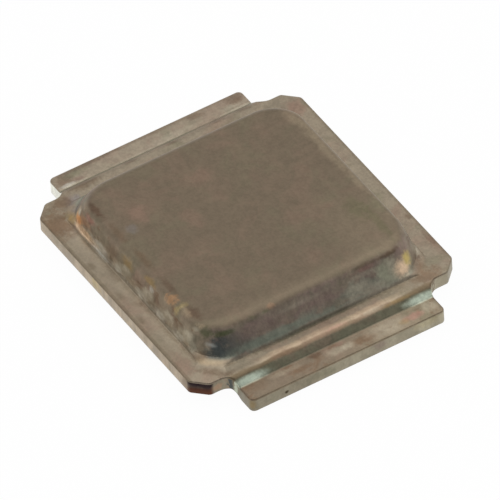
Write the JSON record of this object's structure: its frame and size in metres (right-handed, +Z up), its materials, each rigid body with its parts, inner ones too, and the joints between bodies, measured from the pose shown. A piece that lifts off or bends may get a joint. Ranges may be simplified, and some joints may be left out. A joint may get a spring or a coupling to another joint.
{
  "type": "metal can power transistor",
  "caption": "Surface-mount power transistor: a silicon die bonded under the dome of a stamped metal can, whose end tabs are the drain contact.",
  "frame": {"origin": "middle of the part, on the plane of the board that the drain tabs stand on", "axes": "+X along the length, from one drain tab to the other; +Y across the width, from the gate towards the outer source; +Z up, away from the board"},
  "size_m": [0.0048, 0.0038, 0.0007],
  "materials": {
    "can": "satin plated copper, tarnished",
    "attach": "matt, silver-filled",
    "silicon": "sawn silicon",
    "coat": "matt",
    "pads": "satin solderable metal"
  },
  "bodies": {
    "root": {"drain_can": "can", "die_attach": "attach", "silicon_die": "silicon", "passivation": "coat", "gate_pad": "pads", "source_pad_inner": "pads", "source_pad_outer": "pads"}
  },
  "joints": []
}
